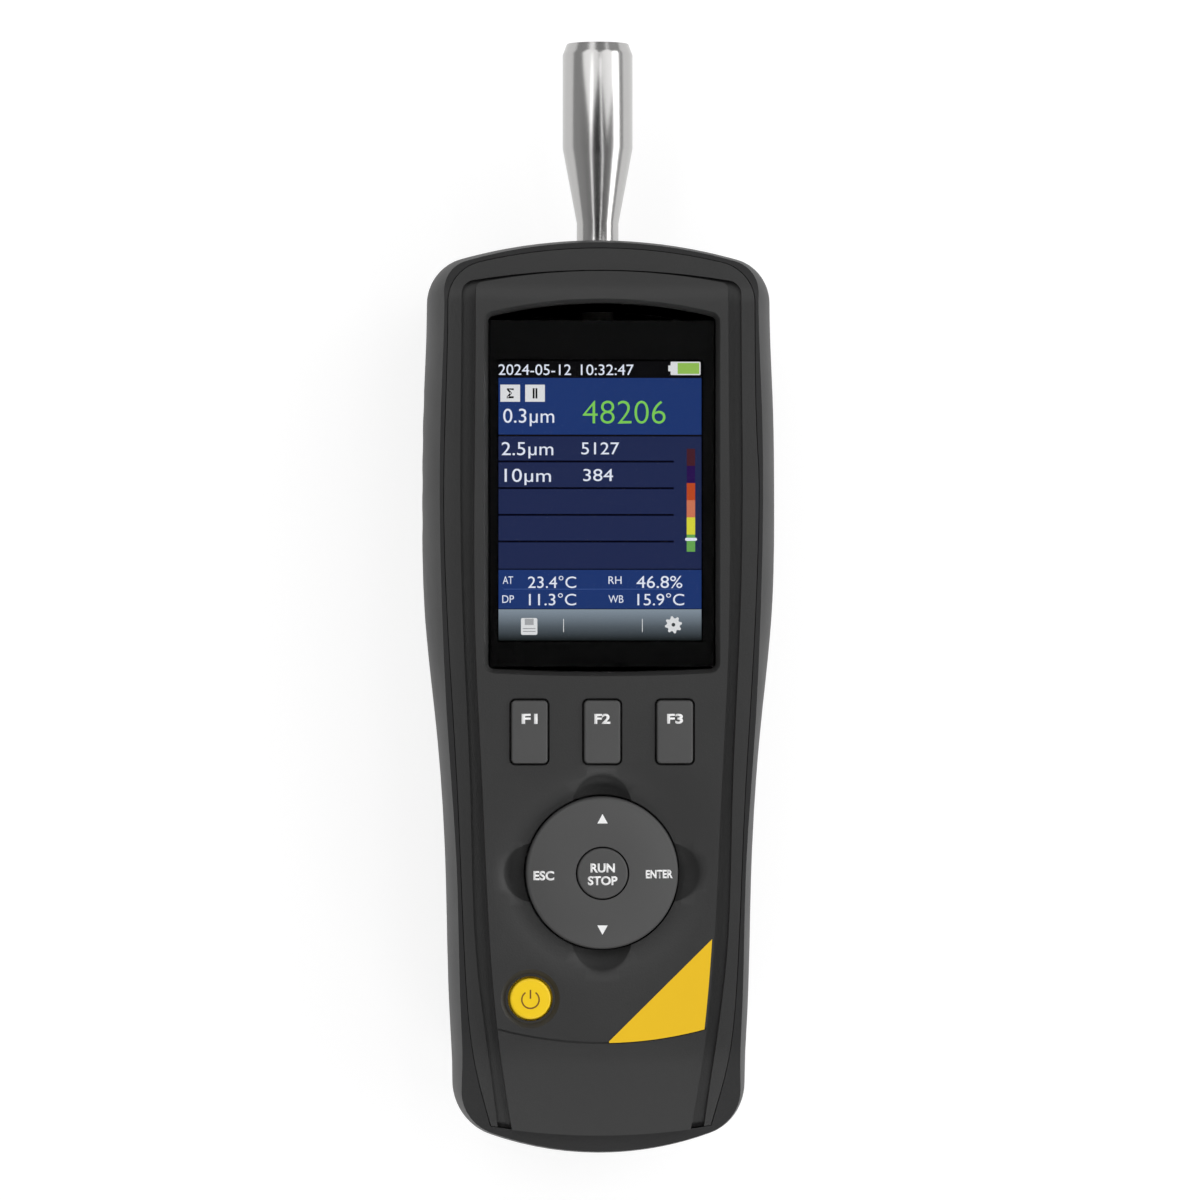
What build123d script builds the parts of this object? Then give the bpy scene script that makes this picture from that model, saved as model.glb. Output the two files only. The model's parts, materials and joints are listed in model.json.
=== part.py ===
"""Handheld airborne particle counter, lying on its back with the display up.

Millimetres. +X is to the right of the display, +Y points along the sampling probe, +Z is up
through the display. The origin is under the middle of the part, on the surface it lies on.
"""
from build123d import *
import math
import os

# --- overall size -----------------------------------------------------------------
LENGTH = 240.0          # end of the housing to the mouth of the probe
PROBE_REACH = 42.9      # probe standing out of the housing
DEPTH = 57.0            # back to the crown of the navigation key
WALL = 2.2              # moulded wall of both housings
FIT = 0.15              # gap between pieces that are fixed to each other
PLAY = 0.45             # gap around pieces that move

LOW_END = -LENGTH / 2
HIGH_END = LENGTH / 2 - PROBE_REACH

# --- rear housing form --------------------------------------------------------------
# Side stations, low end to high end: distance from the low end, half width at the widest level.
SIDE_STATIONS = [(30.0, 32.2), (62.0, 33.1), (91.0, 35.0), (117.0, 37.6), (140.0, 38.1), (162.0, 37.8)]
LOW_HALF_WIDTH, HIGH_HALF_WIDTH = 31.6, 37.1
LOW_ARC, HIGH_ARC = 70.0, 110.0          # radius of the two end faces
LOW_CORNER, HIGH_CORNER = 12.0, 10.0     # radius of the corners between ends and sides
WIDEST_Z = 33.0                          # level at which the housing is widest
FRONT_BULGE, BACK_BULGE = 50.0, 90.0     # radius of the side section in front of and behind it
BACK_ROUND = 9.0                         # round between the sides and the back
GRIP_SHARE = 0.62                        # how much of the front bulge the slim grip has
END_SHARE = 0.55
HOLLOW_DEPTH, HOLLOW_MID, HOLLOW_HALF = 6.0, -6.0, 28.0   # finger hollow across the back

# --- front housing form ---------------------------------------------------------------
RAIL_Z = 51.5           # level of the side rails and of the rim of the rear housing
PANEL_Z = 54.5          # level of the raised middle panel
PLATE = 2.4             # thickness of the front housing at its rails
GROOVE_DEPTH = 1.3
LEDGE = 1.5             # ledge of the rear housing that carries the front housing
LEDGE_THICKNESS = 2.2
CHIN_START, CHIN_DROP = -96.0, 5.0       # where the front begins to fall towards the low end
BROW_START, BROW_DROP = 65.0, 5.5        # the same towards the high end
# Half widths of three outlines on the front, foot to head, then how each ends at the foot and the head.
RIM_SIDE = [(26.5, -102.8), (29.2, -80.0), (30.8, -43.0), (32.8, -9.0), (33.8, 24.0)]
GROOVE_SIDE = [(23.5, -102.8), (26.7, -78.0), (28.0, -43.0), (29.5, -9.0), (30.2, 24.0)]
PANEL_SIDE = [(20.9, -102.8), (23.7, -77.0), (25.4, -43.0), (27.0, -9.0), (27.2, 24.0)]
RIM = dict(side=RIM_SIDE, foot=23.7, width=32.9, end=74.9, corner=9.0, arc=HIGH_ARC)
GROOVE = dict(side=GROOVE_SIDE, foot=22.1, width=29.9, end=70.0, corner=3.0, arc=165.0)
PANEL = dict(side=PANEL_SIDE, foot=19.1, width=26.9, end=69.6, corner=1.6, arc=135.0)
FOOT_END, FOOT_ARC = -115.3, 140.0       # low end of the rim opening and radius of its edge

# --- display ----------------------------------------------------------------------------
WINDOW_HALF_WIDTH = 24.2
WINDOW_LOW, WINDOW_HIGH = -15.2, 59.6    # glass edges at its corners
WINDOW_ARCH, WINDOW_SAG = 3.0, 0.7       # rise of the top edge and fall of the low edge
WINDOW_RECESS, WINDOW_GLASS = 1.2, 1.5
WINDOW_CORNER, WINDOW_SLOPE = 1.3, 36.0
WINDOW_LEDGE, FRAME_THICKNESS = 1.8, 1.2
DISPLAY_SIZE = (48.8, 69.2, 3.0)
DISPLAY_MID_Y = 21.5
GASKET_THICKNESS = 0.5

# --- keys ---------------------------------------------------------------------------------
FUNCTION_KEY = (7.7, 13.4, 0.9)          # width, height, corner radius
FUNCTION_KEY_PITCH, FUNCTION_KEY_Y = 15.5, -28.75
KEY_PROUD, KEY_TRAVEL, KEY_FLANGE = 0.8, 0.9, 1.0
NAV_Y, NAV_R = -58.8, 16.2
NAV_RIM_Z, NAV_SKIRT_Z = 55.4, 51.0
DISH_R, DISH_DEPTH = 23.5, 1.2
SCALLOP_R, SCALLOP_REACH = 9.0, 14.4
PAD_R, PAD_Z = 21.8, 49.4                # thickening that backs the scallops
RUN_R, RUN_PLAY, NAV_HUB = 5.4, 0.3, 2.4
POWER_X, POWER_Y, POWER_R = -15.3, -85.6, 4.35
POWER_DISH_R, POWER_DISH_DEPTH = 6.3, 0.8
SEAM_LEFT, SEAM_LOW, SEAM_RIGHT = (-24.0, -91.6), (-1.0, -95.05), (24.0, -91.6)
SEAM_WIDTH, SEAM_DEPTH = 0.45, 0.4
INLAY_TOP_Y, INLAY_TIP_X, INLAY_THICKNESS, INLAY_MARGIN = -73.0, 1.5, 0.5, 0.5

# --- boards -------------------------------------------------------------------------------
BOARD_THICKNESS = 1.6
BOARD_Z = 44.6                           # underside of the main board
BOARD_HALF_WIDTH, BOARD_LOW, BOARD_HIGH = 26.5, -98.0, 59.0
MAT_THICKNESS, DOME_GAP = 1.0, 0.2
BUZZER_X, BUZZER_Y = 18.0, -70.0
# Processor, memory, converter, amplifier and two connectors: middle x and y, width, height, thickness.
CHIPS = [(-6, 22, 14, 14, 1.4), (10, 24, 8, 12, 1.2), (-14, -4, 9, 7, 2.4), (4, 2, 6, 6, 1.2),
         (0, -90, 16, 6, 4.0), (21, 50, 8, 5, 3.5)]

# --- probe and sampling train --------------------------------------------------------------
PROBE_Z = 30.0
PROBE_R, PROBE_TUBE_LENGTH, PROBE_CONE_LENGTH = 7.6, 20.3, 16.2
PROBE_MOUTH_R, PROBE_MOUTH_DEPTH, PROBE_CHAMFER = 6.2, 10.0, (0.9, 2.4)
NECK_R, SPIGOT_R, AIRWAY_R = 4.55, 3.4, 1.6
NECK_SEAT = 1.2                          # depth of the seat in the housing that takes the neck
CHAMBER_SIZE = (30.0, 26.0, 24.0)
CHAMBER_Y = 46.0
LASER_R, LASER_LENGTH = 6.0, 15.0
PUMP_SIZE = (27.0, 38.0, 22.0)
PUMP_X, PUMP_Y, PUMP_Z = 13.5, -5.0, 23.0
FILTER_R, FILTER_LENGTH = 9.0, 26.0
FILTER_X, FILTER_Y = -21.0, 0.0
HOSE_R, HOSE_BORE = 2.6, 1.5

# --- power ------------------------------------------------------------------------------------
CELL_R, CELL_LENGTH = 9.2, 65.0
BAY_HALF_WIDTH, BAY_HIGH, BAY_LOW, BAY_WALL, BAY_WALL_Z = 19.0, -37.2, -107.5, 1.5, 16.0
DOOR_HALF_WIDTH, DOOR_HIGH, DOOR_THICKNESS = 18.9, -52.0, 2.0
TONGUE, TONGUE_THICKNESS = 1.2, 0.9

# --- openings in the rear housing -----------------------------------------------------------
VENT_SIZE, VENT_PITCH, VENT_COUNT = (6.2, 12.0), 8.37, 4   # along the body, up the side
VENT_FIRST_Y, VENT_MID_Z = 16.2, 29.0
PORT_WELL = (26.0, 8.0, 6.4)             # width, height, depth behind the cover
USB_X, JACK_X = -5.0, 6.2                # middles of the two sockets
PORT_COVER = (30.0, 12.0, 3.4)            # width, height, and depth of its flat back inside the end
SCREW_POSTS = [(-21.5, 64.0), (21.5, 64.0), (-25.0, -46.0), (25.0, -46.0)]
SCREW_SEAT_Z, POST_SPLIT_Z = 26.0, 29.0
SCREW_R, SCREW_HEAD_R, SCREW_HEAD = 1.5, 2.8, 2.2
TRIPOD_Y, TRIPOD_BORE_R, TRIPOD_INSERT_R, TRIPOD_LENGTH = 34.0, 2.55, 4.2, 9.0


# ----------------------------------------------------------------------------- helpers
def end_corner(half_width, radius, end_y, arc, side):
    """Centre of a corner round tangent to the side and to the end arc, and where it meets the arc."""
    centre_x = half_width - radius
    arc_centre_y = end_y - side * arc
    rise = math.sqrt((arc - radius) ** 2 - centre_x**2)
    scale = arc / (arc - radius)
    touch = (centre_x * scale, arc_centre_y + side * rise * scale)
    return (centre_x, arc_centre_y + side * rise), touch


def corner_arc(half_width, radius, end_y, arc, side):
    """Three points of the right-hand corner round, from the end arc to the side."""
    centre, touch = end_corner(half_width, radius, end_y, arc, side)
    angle = math.atan2(touch[1] - centre[1], touch[0] - centre[0]) / 2
    middle = (centre[0] + radius * math.cos(angle), centre[1] + radius * math.sin(angle))
    return touch, middle, (half_width, centre[1])


def flip(points):
    return [(-x, y) for x, y in reversed(points)]


def mirrored_face(low_mid, side_edges, high_mid):
    """Closes right-hand edges, each a (kind, points) pair, with their mirror image and the two end arcs."""
    first, last = side_edges[0][1][0], side_edges[-1][1][-1]
    edges = [ThreePointArc((-first[0], first[1]), low_mid, first)]
    for kind, points in side_edges:
        edges.append(run(kind, points))
    edges.append(ThreePointArc(last, high_mid, (-last[0], last[1])))
    for kind, points in reversed(side_edges):
        edges.append(run(kind, flip(points)))
    return make_face(edges)


def run(kind, points):
    """One edge: an arc through three points, or a spline with upright ends, except at a pointed foot."""
    if kind == "arc":
        return ThreePointArc(*points)
    up = 1 if points[0][1] < points[-1][1] else -1
    first, last = (0, up), (0, up)
    if kind == "pointed" and up > 0:
        first = (points[1][0] - points[0][0], points[1][1] - points[0][1])
    if kind == "pointed" and up < 0:
        last = (points[-1][0] - points[-2][0], points[-1][1] - points[-2][1])
    return Spline(*points, tangents=[first, last])


def housing_section(inset, grip_share=1.0, end_share=1.0):
    """Outline of the housing, drawn in by inset at the head and by shares of it at the grip and the ends."""
    grip, end = inset * grip_share, inset * end_share
    low_r = LOW_CORNER**2 / (LOW_CORNER + inset)
    high_r = HIGH_CORNER**2 / (HIGH_CORNER + inset)
    low = corner_arc(LOW_HALF_WIDTH - grip, low_r, LOW_END + end, LOW_ARC, -1)
    high = corner_arc(HIGH_HALF_WIDTH - inset, high_r, HIGH_END - end, HIGH_ARC, 1)
    head_from = SIDE_STATIONS[3][0]
    side = [low[2]]
    for distance, half_width in SIDE_STATIONS:
        step = inset if distance >= head_from else grip
        side.append((half_width - step, LOW_END + distance))
    side.append(high[2])
    return mirrored_face(
        (0, LOW_END + end),
        [("arc", list(low)), ("spline", side), ("arc", [high[2], high[1], high[0]])],
        (0, HIGH_END - end),
    )


def bulge(radius, rise):
    return radius - math.sqrt(radius**2 - rise**2)


def side_inset(z):
    """How far the side of the housing stands in from its widest level at height z."""
    if z >= WIDEST_Z:
        return bulge(FRONT_BULGE, z - WIDEST_Z)
    reach = BACK_BULGE - BACK_ROUND
    drop = WIDEST_Z - BACK_ROUND
    round_mid = BACK_BULGE - math.sqrt(reach**2 - drop**2)
    tangent_z = WIDEST_Z - drop * BACK_BULGE / reach
    if z >= tangent_z:
        return bulge(BACK_BULGE, WIDEST_Z - z)
    return round_mid - math.sqrt(BACK_ROUND**2 - (BACK_ROUND - z) ** 2)


def housing_form(wall, levels):
    """The barrel-sided form of the housing, drawn in by wall."""
    sections = []
    for z in levels:
        front = z > WIDEST_Z
        sections.append(
            Pos(0, 0, z)
            * housing_section(
                side_inset(z) + wall,
                GRIP_SHARE if front and not wall else 1.0,
                END_SHARE if front and not wall else 1.0,
            )
        )
    return loft(sections)


def side_slab(points, radii):
    """A slab across the whole width whose outline in Y and Z is given."""
    line = FilletPolyline(*points, radius=radii)
    edges = [line, Line(points[-1], points[0])]
    return extrude(Plane.YZ * make_face(edges), amount=60, both=True)


def below_front(level):
    """Everything below the front surface whose flat part is at this level."""
    return side_slab(
        [
            (HIGH_END + 20, -5),
            (HIGH_END + 20, level - BROW_DROP * (HIGH_END + 20 - BROW_START) / (HIGH_END - BROW_START)),
            (BROW_START, level),
            (CHIN_START, level),
            (LOW_END - 20, level - CHIN_DROP * (CHIN_START - LOW_END + 20) / (CHIN_START - LOW_END)),
            (LOW_END - 20, -5),
        ],
        [0.5, 10.0, 40.0, 0.5],
    )


def finger_hollow(lift):
    """The hollow across the back, as the block to take away, raised by lift."""
    low, high = HOLLOW_MID - HOLLOW_HALF, HOLLOW_MID + HOLLOW_HALF
    ramp = HOLLOW_HALF * 0.5
    return side_slab(
        [
            (low - 4, -9),
            (low - 4, lift - 1.5),
            (low + ramp, lift + HOLLOW_DEPTH),
            (high - ramp, lift + HOLLOW_DEPTH),
            (high + 4, lift - 1.5),
            (high + 4, -9),
        ],
        [0.5, 30.0, 30.0, 0.5],
    )


def front_face(outline, inset=0.0):
    """Outline on the front housing: splined sides, rounded top corners, pointed low corners."""
    corner = max(outline["corner"] - inset, 0.8)
    high = corner_arc(outline["width"] - inset, corner, outline["end"] - inset, outline["arc"], 1)
    foot = outline["foot"] - inset
    side = [(foot, FOOT_END + inset + foot**2 / (2 * FOOT_ARC))]
    for x, y in outline["side"]:
        side.append((x - inset, y))
    side.append(high[2])
    return mirrored_face(
        (0, FOOT_END + inset),
        [("pointed", side), ("arc", [high[2], high[1], high[0]])],
        (0, outline["end"] - inset),
    )


def prism(face, low, high):
    return extrude(Pos(0, 0, low) * face, amount=high - low)


def block(x0, x1, y0, y1, z0, z1):
    return Pos((x0 + x1) / 2, (y0 + y1) / 2, (z0 + z1) / 2) * Box(x1 - x0, y1 - y0, z1 - z0)


def upright(x, y, radius, z0, z1):
    return Pos(x, y, (z0 + z1) / 2) * Cylinder(radius, z1 - z0)


def along_y(x, z, radius, y0, y1):
    return Pos(x, (y0 + y1) / 2, z) * Rot(90, 0, 0) * Cylinder(radius, y1 - y0)


def along_x(y, z, radius, x0, x1):
    return Pos((x0 + x1) / 2, y, z) * Rot(0, 90, 0) * Cylinder(radius, x1 - x0)


def rounded(width, height, radius):
    return RectangleRounded(width, height, radius)


# ----------------------------------------------------------------------------- levels worked out
PANEL_UNDER_Z = PANEL_Z - WALL
GLASS_Z = PANEL_Z - WINDOW_RECESS - WINDOW_GLASS        # underside of the glass
FRAME_Z = GLASS_Z - FRAME_THICKNESS                     # underside of the frame that carries it
BOARD_TOP = BOARD_Z + BOARD_THICKNESS
MAT_TOP = BOARD_TOP + MAT_THICKNESS
KEY_FOOT_Z = MAT_TOP + 2.6                              # underside of the key plungers
DOME_Z = KEY_FOOT_Z - KEY_TRAVEL - DOME_GAP
FUNCTION_KEY_XS = [-FUNCTION_KEY_PITCH, 0.0, FUNCTION_KEY_PITCH]
HIGH_WALL_Y = HIGH_END - WALL                           # inner face of the high end wall
DISPLAY_TOP = FRAME_Z - GASKET_THICKNESS


def window_face(grow=0.0):
    """Outline of the display glass: straight sides, arched top edge, slightly sagging low edge."""
    half = WINDOW_HALF_WIDTH + grow
    low, high = WINDOW_LOW - grow, WINDOW_HIGH + grow
    edges = [
        ThreePointArc((-half, low), (0, low - WINDOW_SAG), (half, low)),
        Line((half, low), (half, high)),
        ThreePointArc((half, high), (0, high + WINDOW_ARCH), (-half, high)),
        Line((-half, high), (-half, low)),
    ]
    face = make_face(edges)
    return fillet(face.vertices(), max(WINDOW_CORNER + grow, 0.4))


def scallops():
    """The four finger hollows round the navigation key."""
    centre_z = PANEL_Z - DISH_DEPTH + SCALLOP_R - 2.6
    ball = Sphere(SCALLOP_R)
    return [
        Pos(SCALLOP_REACH * math.cos(a), NAV_Y + SCALLOP_REACH * math.sin(a), centre_z) * ball
        for a in (0, math.pi / 2, math.pi, 3 * math.pi / 2)
    ]


def round_dish(x, y, rim_r, floor_r, depth):
    """A round dish in the panel that slopes from its rim to its floor."""
    return Pos(x, y, PANEL_Z - depth) * extrude(Circle(floor_r), amount=depth + 0.01,
                                                taper=-math.degrees(math.atan((rim_r - floor_r) / depth)))


def seam_face(width):
    """A strip along the shallow arc across the foot of the panel."""
    lower = Pos(0, -width / 2, 0) * ThreePointArc(SEAM_LEFT, SEAM_LOW, SEAM_RIGHT)
    upper = Pos(0, width / 2, 0) * ThreePointArc(SEAM_LEFT, SEAM_LOW, SEAM_RIGHT)
    return make_face([lower, Line(lower @ 1, upper @ 1), upper, Line(upper @ 0, lower @ 0)])


def inlay_face():
    """The corner triangle of the panel, above the seam and inside the panel's edge."""
    corner = make_face(Polyline((30, INLAY_TOP_Y + 6.5), (INLAY_TIP_X, SEAM_LOW[1] + 0.35),
                                (INLAY_TIP_X, -110), (30, -110), close=True))
    above_seam = make_face([
        ThreePointArc(SEAM_LEFT, SEAM_LOW, SEAM_RIGHT), Line(SEAM_RIGHT, (24, -60)),
        Line((24, -60), (-24, -60)), Line((-24, -60), SEAM_LEFT),
    ])
    within = front_face(PANEL, INLAY_MARGIN)
    return corner & above_seam & within


# ----------------------------------------------------------------------------- housings
def screw_post(x, y):
    """Hollow post of the rear housing: deep screw well from the back, seat, clearance hole."""
    post = upright(x, y, SCREW_HEAD_R + 0.4 + 1.4, 0.5, POST_SPLIT_Z)
    well = upright(x, y, SCREW_HEAD_R + 0.4, -1, SCREW_SEAT_Z)
    hole = upright(x, y, SCREW_R + 0.2, SCREW_SEAT_Z - 1, POST_SPLIT_Z + 1)
    return post, well + hole


def side_vents(side):
    """Round-ended slots through one side wall, each at its own station."""
    slots = []
    for i in range(VENT_COUNT):
        y = VENT_FIRST_Y + i * VENT_PITCH
        slot = extrude(Plane.YZ * rounded(*VENT_SIZE, VENT_SIZE[0] / 2 - 0.01), amount=12)
        slots.append(Pos(side * 36 - 6, y, VENT_MID_Z) * slot)
    return slots


PORT_Z = WIDEST_Z - 2
PORT_SEAT_Y = LOW_END + PORT_COVER[2] + 0.3           # floor of the seat behind the cover
PORT_FACE_Y = PORT_SEAT_Y + PORT_WELL[2]              # back of the well, where the sockets open


def port_block(size, grow, y0, y1):
    """Block in the low end, centred on the sockets."""
    reach_x, reach_z = size[0] / 2 + grow, size[1] / 2 + grow
    return block(-reach_x, reach_x, y0, y1, PORT_Z - reach_z, PORT_Z + reach_z)


OUTER = housing_form(0, [0, 0.5, 1.6, 3.6, 6.4, 15, 24, WIDEST_Z, 42, 48, 54])
CAVITY_LEVELS = [WALL, 5, 12, WIDEST_Z, 44, 50]


def socket_holes():
    usb = block(USB_X - 4.4, USB_X + 4.4, PORT_FACE_Y - 1, PORT_FACE_Y + 3, PORT_Z - 2.1, PORT_Z + 2.1)
    jack = along_y(JACK_X, PORT_Z, 3.3, PORT_FACE_Y - 1, PORT_FACE_Y + 3)
    return usb + jack


def door_outline(grow):
    """Plan of the battery door with its tongues left out."""
    reach = DOOR_HALF_WIDTH + grow
    return block(-reach, reach, LOW_END - 2, DOOR_HIGH + grow, -1, DOOR_THICKNESS + grow)


def tongue_blocks(grow):
    top = DOOR_THICKNESS + grow
    bottom = DOOR_THICKNESS - TONGUE_THICKNESS - grow
    reach = DOOR_HALF_WIDTH + TONGUE + grow
    return block(-reach, reach, LOW_END - 2, DOOR_HIGH - 4 + grow, bottom, top)


def make_rear_housing():
    body = (OUTER & below_front(RAIL_Z)) - finger_hollow(0)
    cavity = housing_form(WALL, CAVITY_LEVELS) & below_front(RAIL_Z - PLATE - LEDGE_THICKNESS)
    cavity -= finger_hollow(WALL)
    # The bay, the posts and the blocks stand in the cavity.
    bay_reach = BAY_HALF_WIDTH + BAY_WALL
    bay = block(-bay_reach, bay_reach, BAY_LOW, BAY_HIGH + BAY_WALL, 1, BAY_WALL_Z)
    bay -= block(-BAY_HALF_WIDTH, BAY_HALF_WIDTH, BAY_LOW + BAY_WALL, BAY_HIGH, 0, BAY_WALL_Z + 1)
    sockets = port_block(PORT_WELL, 1.6, LOW_END + 1, PORT_FACE_Y + 1.6)
    sockets += port_block(PORT_COVER, 1.9, LOW_END + 1, PORT_SEAT_Y + 1.6)
    tripod = upright(0, TRIPOD_Y, TRIPOD_INSERT_R + 2, 1, TRIPOD_LENGTH + 2.5)
    keep = [bay, sockets, tripod]
    holes = []
    for x, y in SCREW_POSTS:
        post, hole = screw_post(x, y)
        keep.append(post)
        holes.append(hole)
    for part in keep:
        cavity -= part
    body -= cavity
    mouth = prism(front_face(RIM, LEDGE), 30, 70)
    body -= mouth - below_front(RAIL_Z - PLATE - LEDGE_THICKNESS - 0.5)
    body -= prism(front_face(RIM), 30, 70) - below_front(RAIL_Z - PLATE)
    for hole in holes:
        body -= hole
    for side in (-1, 1):
        for slot in side_vents(side):
            body -= slot
    body -= door_outline(0.3) + tongue_blocks(0.2)
    body -= upright(0, TRIPOD_Y, TRIPOD_INSERT_R, -1, TRIPOD_LENGTH + 0.4)
    # Seat of the port cover, well of the sockets and their holes.
    body -= port_block(PORT_COVER, 0.3, LOW_END - 1, PORT_SEAT_Y)
    body -= port_block(PORT_WELL, 0, LOW_END - 1, PORT_FACE_Y)
    body -= socket_holes()
    # Passage and seat of the sampling inlet.
    body -= along_y(0, PROBE_Z, SPIGOT_R + 0.1, HIGH_WALL_Y - 2, HIGH_END + 2)
    body -= along_y(0, PROBE_Z, NECK_R + 0.45, HIGH_END - NECK_SEAT, HIGH_END + 2)
    return body


def make_front_housing():
    low = below_front(RAIL_Z - PLATE + 0.1)
    rim = prism(front_face(RIM, FIT), 30, 70)
    body = (rim & below_front(RAIL_Z)) - low
    groove = prism(front_face(GROOVE), 30, 70) - below_front(RAIL_Z - GROOVE_DEPTH)
    panel = prism(front_face(PANEL), 30, 70) & below_front(PANEL_Z) & rim
    body = (body - groove) + (panel - low)
    hollow = prism(front_face(PANEL, WALL), 30, 70) & below_front(PANEL_UNDER_Z)
    body -= hollow
    # Frame under the glass, pad behind the scallops, collars for the posts.
    body += prism(window_face(1.6), FRAME_Z, PANEL_UNDER_Z + 0.3)
    body += upright(0, NAV_Y, PAD_R, PAD_Z, PANEL_UNDER_Z + 0.3)
    for x, y in SCREW_POSTS:
        body += upright(x, y, 3.2, POST_SPLIT_Z, RAIL_Z - PLATE + 0.4)
    body -= prism(window_face(FIT), GLASS_Z, PANEL_Z - WINDOW_RECESS + 0.01)
    slope = extrude(window_face(FIT), amount=WINDOW_RECESS + 0.3, taper=-WINDOW_SLOPE)
    body -= Pos(0, 0, PANEL_Z - WINDOW_RECESS) * slope
    body -= prism(window_face(-WINDOW_LEDGE), FRAME_Z - 1, GLASS_Z + 1)
    # Keys.
    width, height, radius = FUNCTION_KEY
    for x in FUNCTION_KEY_XS:
        opening = rounded(width + 2 * PLAY, height + 2 * PLAY, radius + PLAY)
        body -= prism(Pos(x, FUNCTION_KEY_Y, 0) * opening, PANEL_UNDER_Z - 1, PANEL_Z + 1)
    body -= round_dish(0, NAV_Y, DISH_R, NAV_R + 2.0, DISH_DEPTH)
    for ball in scallops():
        body -= ball
    body -= upright(0, NAV_Y, NAV_R + PLAY, PAD_Z - 1, PANEL_Z + 1)
    body -= round_dish(POWER_X, POWER_Y, POWER_DISH_R, POWER_R + PLAY + 0.5, POWER_DISH_DEPTH)
    body -= upright(POWER_X, POWER_Y, POWER_R + PLAY, PANEL_UNDER_Z - 1, PANEL_Z + 1)
    # Seam and recess of the corner inlay.
    body -= prism(seam_face(SEAM_WIDTH), PANEL_Z - SEAM_DEPTH, PANEL_Z + 1)
    body -= prism(inlay_face(), PANEL_Z - INLAY_THICKNESS, PANEL_Z + 1)
    for x, y in SCREW_POSTS:
        body -= upright(x, y, 1.25, POST_SPLIT_Z - 1, POST_SPLIT_Z + 15)
    return body


# ----------------------------------------------------------------------------- display and keys
def make_display_window():
    return prism(window_face(), GLASS_Z, GLASS_Z + WINDOW_GLASS)


def make_display_gasket():
    width, height, _ = DISPLAY_SIZE
    outer = Pos(0, DISPLAY_MID_Y, 0) * Rectangle(width - 1, height - 1)
    inner = Pos(0, DISPLAY_MID_Y, 0) * Rectangle(width - 3.4, height - 3.4)
    return prism(outer - inner, FRAME_Z - GASKET_THICKNESS, FRAME_Z)


def make_display_module():
    width, height, thickness = DISPLAY_SIZE
    top = DISPLAY_TOP
    body = Pos(0, DISPLAY_MID_Y, 0) * prism(rounded(width, height, 0.8), top - thickness, top)
    for x in (-width / 2 + 3, width / 2 - 3):
        for y in (DISPLAY_MID_Y - height / 2 + 3, DISPLAY_MID_Y + height / 2 - 3):
            body += upright(x, y, 1.4, BOARD_TOP, top - thickness + 0.2)
    return body


def make_function_key(x):
    width, height, radius = FUNCTION_KEY
    cap = prism(rounded(width, height, radius), PANEL_UNDER_Z - 1.0, PANEL_Z + KEY_PROUD)
    cap = fillet(cap.faces().sort_by(Axis.Z)[-1].edges(), 0.45)
    flange_top = PANEL_UNDER_Z - 0.2
    flange = prism(rounded(width + 2, height + 2, radius + 1), flange_top - KEY_FLANGE, flange_top)
    plunger = upright(0, 0, 1.8, KEY_FOOT_Z, PANEL_UNDER_Z - 0.5)
    return Pos(x, FUNCTION_KEY_Y, 0) * (cap + flange + plunger)


def turned(points):
    """A solid turned about +Z from half a profile of (radius, height) points."""
    return revolve(Plane.XZ * make_face(Polyline(*points, close=True)), Axis.Z)


def make_navigation_key():
    crown_z = DEPTH - 0.35
    bore = RUN_R + RUN_PLAY
    hub_z = KEY_FOOT_Z + 1.1
    line = [
        Line((bore, hub_z), (bore, crown_z)),
        ThreePointArc((bore, crown_z), (NAV_R * 0.68, crown_z - 0.3), (NAV_R - 0.8, NAV_RIM_Z)),
        ThreePointArc((NAV_R - 0.8, NAV_RIM_Z), (NAV_R - 0.2, NAV_RIM_Z - 0.3), (NAV_R, NAV_RIM_Z - 0.9)),
        Line((NAV_R, NAV_RIM_Z - 0.9), (NAV_R, NAV_SKIRT_Z)),
        Line((NAV_R, NAV_SKIRT_Z), (NAV_R - 1.6, NAV_SKIRT_Z)),
        Line((NAV_R - 1.6, NAV_SKIRT_Z), (NAV_R - 1.6, NAV_RIM_Z - 2.2)),
        Line((NAV_R - 1.6, NAV_RIM_Z - 2.2), (bore + NAV_HUB, NAV_RIM_Z - 1.6)),
        Line((bore + NAV_HUB, NAV_RIM_Z - 1.6), (bore + NAV_HUB, hub_z)),
        Line((bore + NAV_HUB, hub_z), (bore, hub_z)),
    ]
    disc = revolve(Plane.XZ * make_face(line), Axis.Z)
    for angle in range(0, 360, 90):
        disc += Rot(0, 0, angle) * upright(NAV_R - 4.6, 0, 1.5, KEY_FOOT_Z, NAV_RIM_Z - 1.7)
    return Pos(0, NAV_Y, 0) * disc


def make_navigation_rocker():
    """Rubber ring that the navigation key rocks on."""
    hub_z = KEY_FOOT_Z + 1.1
    ring = upright(0, NAV_Y, RUN_R + RUN_PLAY + NAV_HUB, MAT_TOP + 0.5, hub_z - 0.5)
    return ring - upright(0, NAV_Y, RUN_R + 1.3, MAT_TOP, hub_z)


def make_run_stop_key():
    cap = upright(0, 0, RUN_R, KEY_FOOT_Z + 0.2, DEPTH)
    cap = fillet(cap.faces().sort_by(Axis.Z)[-1].edges(), 0.5)
    cap += upright(0, 0, RUN_R + 0.75, KEY_FOOT_Z, KEY_FOOT_Z + 0.5)
    return Pos(0, NAV_Y, 0) * cap


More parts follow.
